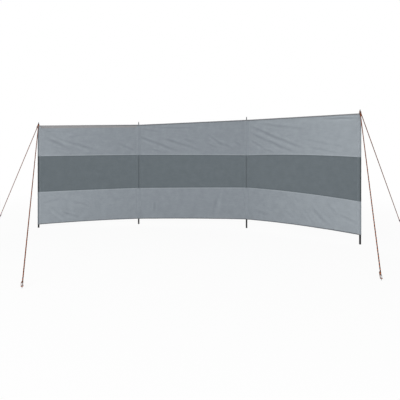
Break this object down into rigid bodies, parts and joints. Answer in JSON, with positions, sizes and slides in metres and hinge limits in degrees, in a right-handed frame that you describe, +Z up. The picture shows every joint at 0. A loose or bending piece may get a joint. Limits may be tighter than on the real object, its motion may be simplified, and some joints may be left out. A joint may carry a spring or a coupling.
{
  "type": "beach windbreak",
  "caption": "Cloth windbreak in bays on ground-spike poles, with light and dark grey bands, hems, pole sleeves, top pins and taut cord guy lines to wire pegs.",
  "frame": {"origin": "centre of the second pole's foot, at ground level", "axes": "+X along the front from left to right, +Y to the back, +Z up"},
  "size_m": [6.3681, 3.115, 1.565],
  "materials": {
    "cloth_light": "matt woven, light grey",
    "cloth_dark": "matt woven, dark grey",
    "hem_tape": "folded hem, grey",
    "pole_coat": "black powder coat",
    "pin_plastic": "moulded, black",
    "eyelet_metal": "dull plated",
    "guy_cord": "laid cord, orange brown",
    "peg_steel": "zinc plated wire"
  },
  "bodies": {
    "root": {"pole_1": "pole_coat", "pole_pin_1": "pin_plastic", "eyelet_1": "eyelet_metal", "pole_sleeve_1": "cloth_light", "pole_2": "pole_coat", "pole_pin_2": "pin_plastic", "eyelet_2": "eyelet_metal", "pole_sleeve_2": "cloth_light", "pole_3": "pole_coat", "pole_pin_3": "pin_plastic", "eyelet_3": "eyelet_metal", "pole_sleeve_3": "cloth_light", "pole_4": "pole_coat", "pole_pin_4": "pin_plastic", "eyelet_4": "eyelet_metal", "pole_sleeve_4": "cloth_light", "lower_band_1": "cloth_light", "middle_band_1": "cloth_dark", "upper_band_1": "cloth_light", "top_hem_1": "hem_tape", "bottom_hem_1": "hem_tape", "lower_band_2": "cloth_light", "middle_band_2": "cloth_dark", "upper_band_2": "cloth_light", "top_hem_2": "hem_tape", "bottom_hem_2": "hem_tape", "lower_band_3": "cloth_light", "middle_band_3": "cloth_dark", "upper_band_3": "cloth_light", "top_hem_3": "hem_tape", "bottom_hem_3": "hem_tape", "guy_line_left_front": "guy_cord", "peg_left_front": "peg_steel", "guy_line_left_back": "guy_cord", "peg_left_back": "peg_steel", "guy_line_right_front": "guy_cord", "peg_right_front": "peg_steel", "guy_line_right_back": "guy_cord", "peg_right_back": "peg_steel"}
  },
  "joints": []
}
